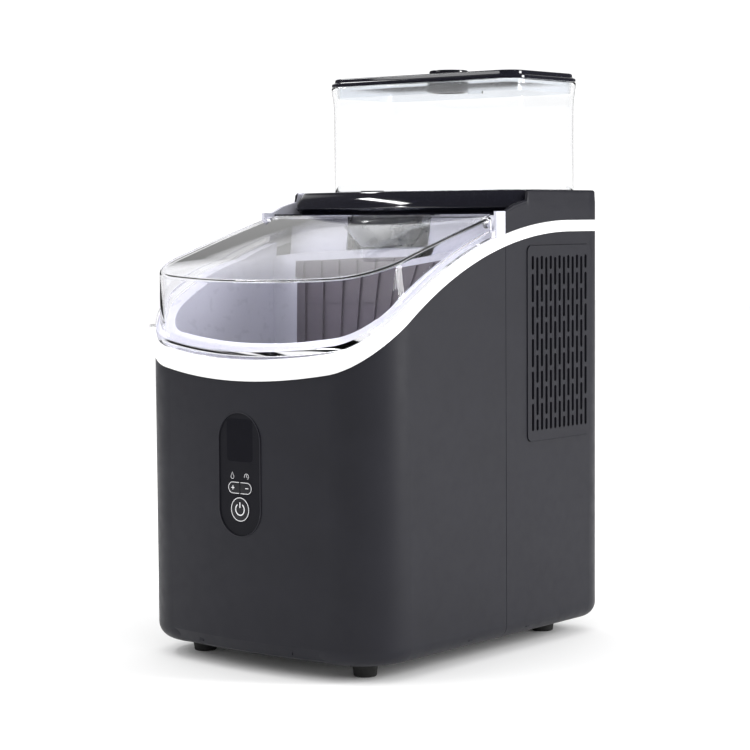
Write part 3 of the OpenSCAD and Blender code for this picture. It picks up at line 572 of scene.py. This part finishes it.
def water_tank():
    """Clear open tank: flared walls, a rolled rim and an outlet collar under its floor."""
    base = 354.2 * MM
    floor_top = base + 3 * MM
    rim = tank_high.z
    wall = 2.2 * MM
    flare_low, flare_high = rim - 26 * MM, rim - 3.4 * MM
    outer = [(-1.5 * MM, base), (-0.45 * MM, base + 0.45 * MM)]
    outer += [(0, base + 1.5 * MM), (0, flare_low)]
    for i in range(1, 9):
        t = i / 8
        outer.append((2 * MM * t**2.2, flare_low + (flare_high - flare_low) * t))
    inner = [(offset - wall, z) for offset, z in reversed(outer[3:])]
    lip = [(2 * MM, rim - 0.7 * MM), (1.5 * MM, rim - 0.1 * MM), (1 * MM, rim), (0.2 * MM, rim)]
    lip += [(-0.15 * MM, rim - 0.5 * MM)]
    low = [(-wall, floor_top + 2 * MM), (-wall - 0.6 * MM, floor_top + 0.6 * MM)]
    low.append((-wall - 2 * MM, floor_top))
    mesh_data = bmesh.new()
    rows = outer + lip + inner + low
    made = skin(mesh_data, [[(x, y, z) for x, y in tank_outline(o)] for o, z in rows], caps=False)
    bore = circle_points(OUTLET, 7 * MM, 48)
    collar = circle_points(OUTLET, 11 * MM, 48)
    top_hole = new_ring(mesh_data, bore, floor_top)
    fill_with_hole(mesh_data, made[-1], top_hole)
    under = new_ring(mesh_data, collar, base)
    fill_with_hole(mesh_data, made[0], under)
    collar_low = new_ring(mesh_data, collar, tank_low.z)
    bore_low = new_ring(mesh_data, bore, tank_low.z)
    join_rings(mesh_data, under, collar_low)
    join_rings(mesh_data, collar_low, bore_low)
    join_rings(mesh_data, bore_low, top_hole)
    tank = finish_mesh("water_tank_visual", mesh_data, "clear_tank", "water_tank", ["water_tank"])
    web = bmesh.new()
    stem, half_width = 2.05 * MM, 1.5 * MM
    for side in (-1, 1):
        near, away = OUTLET[0] + side * stem, OUTLET[0] + side * 7.2 * MM
        front, back = OUTLET[1] - half_width, OUTLET[1] + half_width
        ring = [(near, front), (away, front), (away, back), (near, back)]
        skin(web, [[(x, y, z) for x, y in ring] for z in (351 * MM, 352.5 * MM)])
    finish_mesh("tank_outlet_web", web, "clear_tank", "water_tank")
    return tank


def tank_lid():
    """Black lid: a thin brim, a raised plate with a rolled edge, and the filler's hole."""
    low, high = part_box("tank_lid")
    plate = high.z - 6.8 * MM
    hole = circle_points(FILLER, FILLER_R, 64)
    rows = [(-6 * MM, high.z - 4 * MM), (-6 * MM, plate), (1.3 * MM, plate)]
    rows += [(1.8 * MM, plate + 0.5 * MM), (1.8 * MM, plate + 2.2 * MM)]
    rows += [(1.2 * MM, plate + 2.9 * MM), (0.2 * MM, plate + 3.2 * MM)]
    rows += [(-0.6 * MM, plate + 3.7 * MM), (-0.9 * MM, plate + 4.6 * MM)]
    for u, v in arc_points((0, 0), 1.6 * MM, 15, 90, 6):
        rows.append((-2.5 * MM + u, high.z - 1.6 * MM + v))
    rows.append((-9 * MM, high.z))
    mesh_data = bmesh.new()
    made = skin(mesh_data, [[(x, y, z) for x, y in tank_outline(o)] for o, z in rows], caps=False)
    top = new_ring(mesh_data, hole, high.z)
    fill_with_hole(mesh_data, made[-1], top)
    neck_r = 17 * MM
    neck = circle_points(FILLER, neck_r, 64)
    under = new_ring(mesh_data, neck, high.z - 4 * MM)
    fill_with_hole(mesh_data, made[0], under)
    neck_low = new_ring(mesh_data, neck, low.z + 0.8 * MM)
    neck_tip = new_ring(mesh_data, circle_points(FILLER, neck_r - 0.8 * MM, 64), low.z)
    bore_low = new_ring(mesh_data, hole, low.z)
    join_rings(mesh_data, under, neck_low)
    join_rings(mesh_data, neck_low, neck_tip)
    join_rings(mesh_data, neck_tip, bore_low)
    join_rings(mesh_data, bore_low, top)
    return finish_mesh("tank_lid_visual", mesh_data, "gloss_black", "tank_lid", ["tank_lid"])


def fill_cap():
    """Low round cap with a rolled edge and a shallow dish."""
    low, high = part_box("fill_cap")
    radius = (high.x - low.x) / 2
    middle = Matrix.Translation((0, (low.y + high.y) / 2, 0))
    neck = radius - 1.8 * MM
    brim = high.z - 4.8 * MM
    rows = [(neck - 0.5 * MM, low.z), (neck, low.z + 0.5 * MM)]
    rows += [(neck, brim), (radius - 0.4 * MM, brim)]
    rows += [(radius, brim + 0.4 * MM), (radius, high.z - 1.3 * MM)]
    rows += arc_points((radius - 1.3 * MM, high.z - 1.3 * MM), 1.3 * MM, 15, 90, 6)
    rows += [(radius - 2.6 * MM, high.z - 0.1 * MM), (radius - 3.6 * MM, high.z - 0.7 * MM)]
    rows += [(radius - 6 * MM, high.z - 1.0 * MM), (3 * MM, high.z - 1.1 * MM)]
    rows.append((0.4 * MM, high.z - 1.1 * MM))
    mesh_data = bmesh.new()
    lathe(mesh_data, rows, middle)
    return finish_mesh("fill_cap_visual", mesh_data, "gloss_black", "fill_cap", ["fill_cap"])


# ---- lid ----


LID_HINGE = (8 * MM, 333 * MM)
LID_RISE = 5.8 * MM
LID_ARC = 2500 * MM
LID_FALL = math.radians(14.5)
LID_WALL = 2.5 * MM
LID_INSET = 4 * MM
LID_SIDE_END = 2 * MM
FLANGE_LOW = 370 * MM
FLANGE_HIGH = 375 * MM


def lid_height(y):
    """Height of the lid's top surface, a very large arc that falls to the front."""
    centre_y = LID_HINGE[0] + LID_ARC * math.sin(LID_FALL)
    centre_z = LID_HINGE[1] + LID_RISE - LID_ARC * math.cos(LID_FALL)
    return centre_z + math.sqrt(LID_ARC**2 - (y - centre_y) ** 2)


def lid_rows():
    """Outer and inner profiles as (inset, kind, value): above an arc, or below the lid's top."""
    round_r = 2.8 * MM
    inside = 6.5 * MM
    outer = [(inside, "arc", FLANGE_LOW), (0.9 * MM, "arc", FLANGE_LOW)]
    outer.append((0.5 * MM, "arc", FLANGE_LOW + 0.4 * MM))
    outer += [(0.5 * MM, "arc", FLANGE_HIGH - 0.6 * MM), (1.0 * MM, "arc", FLANGE_HIGH)]
    outer += [(3.0 * MM, "arc", FLANGE_HIGH), (3.7 * MM, "arc", FLANGE_HIGH + 0.3 * MM)]
    outer += [(LID_INSET, "arc", FLANGE_HIGH + 1.2 * MM)]
    for u, v in arc_points((0, 0), round_r, 0, 90, 7):
        outer.append((LID_INSET + round_r - u, "top", round_r - v))
    inner = [(inside, "arc", FLANGE_LOW + 4 * MM)]
    for u, v in arc_points((0, 0), round_r - LID_WALL + 0.6 * MM, 0, 90, 4):
        inner.append((inside + 0.9 * MM - u, "top", LID_WALL + 0.9 * MM - v))
    return outer, inner


def lid_point(point, row, side):
    x, y, nx, ny = point
    inset, kind, value = row
    px, py = side * (x - nx * inset), y - ny * inset
    z = arc_height(py, value) if kind == "arc" else lid_height(py) - value
    return (px, py, z)


def lid_ear(mesh_data, side):
    """A lug under the sheet's rear edge, bored for the hinge pin."""
    y, z = LID_HINGE
    radius, top = 5.5 * MM, z + LID_RISE - LID_WALL - 0.02 * MM
    outline = [(y + 5 * MM, top), (y - 5 * MM, top)]
    outline += arc_points((y, z), radius, 155, 385, 32)
    bore = circle_points((y, z), 2.55 * MM, 32)
    ear_faces = (106 * MM, 110 * MM)
    faces = []
    for x in ear_faces:
        rim = [mesh_data.verts.new((side * x, py, pz)) for py, pz in outline]
        hole = [mesh_data.verts.new((side * x, py, pz)) for py, pz in bore]
        fill_with_hole(mesh_data, rim, hole)
        faces.append((rim, hole))
    join_rings(mesh_data, faces[0][0], faces[1][0])
    join_rings(mesh_data, faces[0][1], faces[1][1])


def lid_tab(mesh_data):
    """Finger tab at the front left corner."""
    turn = Matrix.Rotation(math.radians(39.5), 4, "Z")
    turn = Matrix.Translation((-110.5 * MM, -133.5 * MM, 254 * MM)) @ turn
    rows = [(-0.5 * MM, 0), (0, 0.4 * MM), (0, 1.2 * MM), (-0.5 * MM, 1.6 * MM)]
    rings = []
    for offset, z in rows:
        flat = box_outline(6 * MM + 2 * offset, 16 * MM + 2 * offset, 2.5 * MM + offset, (0, 0), 6)
        rings.append([turn @ Vector((x, y, z)) for x, y in flat])
    skin(mesh_data, rings)


def lid():
    """Clear lid: rounded creases, a flange over the trim and a sheet back to the hinge."""
    outline = casing_outline(2.5 * MM)
    points = [p for p in outline if p[0] > 0 and p[3] <= 0 and p[1] < LID_SIDE_END]
    points = sorted(points, key=lambda p: (p[1], p[0]), reverse=True)
    points.insert(0, (HALF_W, LID_SIDE_END, 1, 0))
    outer, inner = lid_rows()
    mesh_data = bmesh.new()
    rings = []
    for point in points:
        left_out = [lid_point(point, row, -1) for row in outer]
        right_out = [lid_point(point, row, 1) for row in reversed(outer)]
        right_in = [lid_point(point, row, 1) for row in inner]
        left_in = [lid_point(point, row, -1) for row in reversed(inner)]
        rings.append(left_out + right_out + right_in + left_in)
    made = skin(mesh_data, rings, caps=False)
    m, n = len(outer), len(inner)

    def sides(ring):
        left = ring[2 * m + n :] + ring[:m]
        right = ring[m : 2 * m + n][::-1]
        return left, right

    left, right = sides(made[-1])
    for i in range(m + n - 1):
        mesh_data.faces.new((left[i], left[i + 1], right[i + 1], right[i]))
    left, right = sides(made[0])
    mesh_data.faces.new(left)
    mesh_data.faces.new(right)
    edge = [left[-1], right[-1], right[0], left[0]]
    half = 111 * MM
    start, reach = LID_SIDE_END + 0.6 * MM, 7.4 * MM
    steps = 5
    for i in range(steps + 1):
        y = start + reach * i / steps
        top = lid_height(y)
        low = top - LID_WALL
        corners = ((-half, y, top), (half, y, top), (half, y, low), (-half, y, low))
        after = [mesh_data.verts.new(p) for p in corners]
        join_rings(mesh_data, edge, after)
        edge = after
    mesh_data.faces.new(edge)
    for side in (-1, 1):
        lid_ear(mesh_data, side)
    lid_tab(mesh_data)
    return finish_mesh("lid_visual", mesh_data, "clear_lid", "lid", ["lid"])


def collar_highlight_strip(side):
    """Pale strip in the liner's colour over the inner face and top edge of the collar's low front
    end, a painted highlight on the collar.
    """
    ends = (3.2 * MM, 60 * MM)
    cheek_end = 14.4 * MM
    steps = 24
    mesh_data = bmesh.new()
    rings = []
    for i in range(steps + 1):
        y = ends[0] + (ends[1] - ends[0]) * i / steps
        low = arc_height(y, BAND_HIGH) + 0.5 * MM
        high = (341.5 * MM if y < cheek_end else collar_height(max(y, COLLAR_FRONT))) + 0.25 * MM
        section = [(2.55, low), (2.9, low), (2.9, high - 0.2 * MM), (2.7, high)]
        section += [(0.6, high), (0.5, high - 0.25 * MM), (2.55, high - 0.25 * MM)]
        rings.append([(side * (HALF_W - inset * MM), y, z) for inset, z in section])
    skin(mesh_data, rings)
    name = "left" if side < 0 else "right"
    return finish_mesh(f"collar_highlight_strip_{name}", mesh_data, "liner")


# ---- controls and feet ----


def stroke(name, points, radius, body="root", cyclic=False):
    """A printed line: a thin bead through (x, y, z) points that share one depth."""
    path = [Vector(p) for p in points]
    path = [p for k, p in enumerate(path) if k == 0 or (p - path[k - 1]).length > 0.001 * MM]
    if cyclic and (path[0] - path[-1]).length < 0.001 * MM:
        path.pop()
    last = len(path) - 1
    outward = Vector((0, 1, 0))
    rings = []
    for k, place in enumerate(path):
        before = path[k - 1] if k > 0 or cyclic else place
        after = path[(k + 1) % (last + 1)] if k < last or cyclic else place
        along = (after - before).normalized()
        aside = Vector((along.z, 0, -along.x))
        ring = []
        for side in range(8):
            a = math.pi * side / 4
            ring.append(place + radius * (math.cos(a) * aside + math.sin(a) * outward))
        rings.append(ring)
    mesh_data = bmesh.new()
    skin(mesh_data, rings, loop=cyclic)
    return finish_mesh(name, mesh_data, "keys", body, material="ink")


def on_face(points, y):
    """Turns (x, z) pairs into points at depth y."""
    return [(x, y, z) for x, z in points]


def stadium(width, height, middle):
    """The outline of a slot with round ends, as (x, z) pairs."""
    steps = 20
    radius = min(width, height) / 2
    rise, run = height / 2 - radius, width / 2 - radius
    points = []
    for sx, sz, start in ((1, 1, 0), (-1, 1, 90), (-1, -1, 180), (1, -1, 270)):
        corner = (middle[0] + sx * run, middle[1] + sz * rise)
        points += arc_points(corner, radius, start, start + 90, steps)
    return points


def half_pill(side, width, height, middle, inset):
    """One half of the split key, shrunk by inset, as (x, z) pairs."""
    radius = height / 2
    cut = 0.2 * MM + inset
    end = arc_points((width / 2 - radius, 0), radius - inset, -90, 90, 20)
    outline = [(cut, inset - radius)] + end + [(cut, radius - inset)]
    return [(middle[0] + side * x, middle[1] + z) for x, z in outline]


def key_cap(name, outlines, back, front):
    """A key as a stack of outlines whose last steps round its front edge."""
    soft = 0.35 * MM
    rows = [(outlines(0), back), (outlines(0), front + soft)]
    for u, v in arc_points((0, 0), soft, 20, 90, 4):
        rows.append((outlines(soft - u), front + soft - v))
    mesh_data = bmesh.new()
    skin(mesh_data, [on_face(points, y) for points, y in rows])
    return finish_mesh(f"{name}_visual", mesh_data, "keys", name, [name])


def controls():
    """Key caps, their printed marks, and the soft lip around the panel."""
    panel_low, panel_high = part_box("control_bezel")
    panel_y = panel_low.y
    power_low, power_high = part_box("power_button")
    power = (0, (power_low.z + power_high.z) / 2)
    power_r = (power_high.x - power_low.x) / 2
    key_cap(
        "power_button",
        lambda inset: circle_points(power, power_r - inset, 60),
        power_high.y,
        power_low.y,
    )
    pill_low, pill_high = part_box("key_minus")
    pill = (0, (pill_low.z + pill_high.z) / 2)
    pill_w, pill_h = 2 * pill_high.x, pill_high.z - pill_low.z
    for side, name in ((-1, "key_plus"), (1, "key_minus")):
        key_cap(
            name,
            lambda inset, side=side: half_pill(side, pill_w, pill_h, pill, inset),
            pill_high.y,
            pill_low.y,
        )
        edge = half_pill(side, pill_w, pill_h, pill, 0.6 * MM)
        stroke(f"{name}_line", on_face(edge, pill_low.y), 0.22 * MM, name)
        centre = pill[0] + side * 7 * MM
        bar = [(centre - 1.5 * MM, pill[1]), (centre + 1.5 * MM, pill[1])]
        stroke(f"{name}_bar", on_face(bar, pill_low.y), 0.32 * MM, name)
    upright = [(-7 * MM, pill[1] - 1.5 * MM), (-7 * MM, pill[1] + 1.5 * MM)]
    stroke("key_plus_upright", on_face(upright, pill_low.y), 0.32 * MM, "key_plus")
    ring = circle_points(power, power_r - 0.8 * MM, 72)
    stroke("power_ring", on_face(ring, power_low.y), 0.26 * MM, "power_button", cyclic=True)
    symbol = arc_points(power, 4.3 * MM, 125, 415, 48)
    stroke("power_symbol", on_face(symbol, power_low.y), 0.42 * MM, "power_button")
    stem = [(0, power[1] + 1.2 * MM), (0, power[1] + 5.4 * MM)]
    stroke("power_stem", on_face(stem, power_low.y), 0.42 * MM, "power_button")
    icon_z = 147 * MM
    icon_line = 0.16 * MM
    drop_x, dial_x = -7.7 * MM, 6.5 * MM
    drop = arc_points((drop_x, icon_z - 0.9 * MM), 1.5 * MM, 150, 390, 24)
    drop.append((drop_x, icon_z + 2.6 * MM))
    stroke("icon_drop", on_face(drop, panel_y), icon_line, cyclic=True)
    dial = arc_points((dial_x, icon_z - 0.2 * MM), 2.1 * MM, -60, 200, 30)
    stroke("icon_dial", on_face(dial, panel_y), icon_line)
    hand = [(dial_x, icon_z + 1.2 * MM), (dial_x, icon_z - 0.2 * MM)]
    hand.append((dial_x + 1.1 * MM, icon_z - 1.0 * MM))
    stroke("icon_dial_hand", on_face(hand, panel_y), icon_line)
    middle = (0, (panel_low.z + panel_high.z) / 2)
    lip = stadium(panel_high.x * 2 + 0.8 * MM, panel_high.z - panel_low.z + 0.8 * MM, middle)
    obj = stroke("panel_lip", on_face(lip, -HALF_D + 0.1 * MM), 0.55 * MM, cyclic=True)
    obj.data.materials[0] = MATERIALS["casing"]


def foot(name):
    """Tapered rubber foot with a rolled edge and a dished sole."""
    low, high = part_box(name)
    radius = (high.x - low.x) / 2
    place = Matrix.Translation(((low.x + high.x) / 2, (low.y + high.y) / 2, 0))
    sole = radius - 1.4 * MM
    rows = [(0.4 * MM, 1.0 * MM), (sole - 3.4 * MM, 1.0 * MM), (sole - 2.4 * MM, 0.2 * MM)]
    rows += [(sole - 1.8 * MM, 0), (sole - 1.0 * MM, 0), (sole - 0.3 * MM, 0.3 * MM)]
    rows += [(sole, 1.0 * MM), (radius - 0.6 * MM, 7 * MM)]
    rows += [(radius - 0.5 * MM, 7.4 * MM), (radius - 0.1 * MM, 7.7 * MM)]
    rows += [(radius, 8.2 * MM), (radius, high.z)]
    mesh_data = bmesh.new()
    lathe(mesh_data, rows, place, 48)
    return finish_mesh(f"{name}_visual", mesh_data, "rubber", replaces=[name])


# ---- camera, light and floor ----


def camera():
    """The photograph's viewpoint."""
    data = bpy.data.cameras.new("camera")
    obj = bpy.data.objects.new("camera", data)
    bpy.context.scene.collection.objects.link(obj)
    turn, pitch, roll = map(math.radians, (39.47, 4.12, -0.41))
    level = math.cos(pitch)
    forward = Vector((-math.sin(turn) * level, math.cos(turn) * level, -math.sin(pitch)))
    right = Vector((math.cos(turn), math.sin(turn), 0))
    up = right.cross(forward)
    across = right * math.cos(roll) + up * math.sin(roll)
    upward = up * math.cos(roll) - right * math.sin(roll)
    rotation = Matrix((across, upward, -forward)).transposed()
    place = Vector((1.1037, -1.3375, 0.3376))
    obj.matrix_world = Matrix.Translation(place) @ rotation.to_4x4()
    data.sensor_width = 36
    data.lens = 105.13
    data.clip_end = 50
    bpy.context.scene.camera = obj


def area_light(name, place, target, width, height, power):
    data = bpy.data.lights.new(name, "AREA")
    data.shape = "RECTANGLE"
    data.size = width
    data.size_y = height
    data.energy = power
    obj = bpy.data.objects.new(name, data)
    bpy.context.scene.collection.objects.link(obj)
    obj.location = place
    obj.rotation_euler = (Vector(target) - Vector(place)).to_track_quat("-Z", "Y").to_euler()


def studio():
    """Soft light from both sides and above, over a pale floor."""
    world = bpy.data.worlds.new("studio")
    world.use_nodes = True
    bpy.context.scene.world = world
    tree = world.node_tree
    background = tree.nodes["Background"]
    background.inputs["Color"].default_value = (1, 1, 1, 1)
    path = add_node(tree, "ShaderNodeLightPath")
    mirrored = add_node(tree, "ShaderNodeMath", operation="SUBTRACT", use_clamp=True)
    tree.links.new(path.outputs["Is Glossy Ray"], mirrored.inputs[0])
    tree.links.new(path.outputs["Is Transmission Ray"], mirrored.inputs[1])
    coords = add_node(tree, "ShaderNodeTexCoord")
    towards_back = add_node(tree, "ShaderNodeVectorMath", operation="DOT_PRODUCT")
    towards_back.inputs[1].default_value = (-0.55, 0.70, 0.45)
    tree.links.new(coords.outputs["Generated"], towards_back.inputs[0])
    room = spread(tree, towards_back.outputs["Value"], 0.08, 0.95, 0.86, 1.0)
    strength = add_node(tree, "ShaderNodeMix", data_type="FLOAT")
    tree.links.new(mirrored.outputs[0], strength.inputs[0])
    strength.inputs[2].default_value = 1.12
    tree.links.new(room, strength.inputs[3])
    tree.links.new(strength.outputs[0], background.inputs["Strength"])
    middle = (0, 0, 0.22)
    area_light("key", (-1.1, -1.6, 1.3), middle, 0.9, 0.9, 9)
    area_light("side", (2.0, 1.0, 0.9), middle, 0.6, 1.4, 46)
    area_light("strip", (-1.27, -0.45, 1.83), (0, 0.02, 0.35), 1.1, 0.12, 9)
    bpy.context.scene.view_settings.view_transform = "Standard"

    mesh_data = bmesh.new()
    bmesh.ops.create_grid(mesh_data, x_segments=1, y_segments=1, size=6)
    mesh = bpy.data.meshes.new("floor")
    mesh_data.to_mesh(mesh)
    mesh_data.free()
    floor = bpy.data.objects.new("floor", mesh)
    bpy.context.scene.collection.objects.link(floor)
    material, tree, shader = new_material("floor")
    tone = noise(tree, 0.5, 2)
    pale = blend_colour(tree, tone, (0.88, 0.88, 0.88), (0.92, 0.92, 0.92))
    tree.links.new(pale, shader.inputs["Base Color"])
    shader.inputs["Roughness"].default_value = 1
    shader.inputs["Specular IOR Level"].default_value = 0
    mesh.materials.append(material)


dress_cad()
trim_band()
top_collar()
top_deck()
water_tank()
tank_lid()
fill_cap()
lid()
# Painted highlight: a pale strip on the left collar only.
collar_highlight_strip(-1)
controls()
for corner_name in ("front_left", "front_right", "rear_left", "rear_right"):
    foot(f"foot_{corner_name}")
camera()
studio()
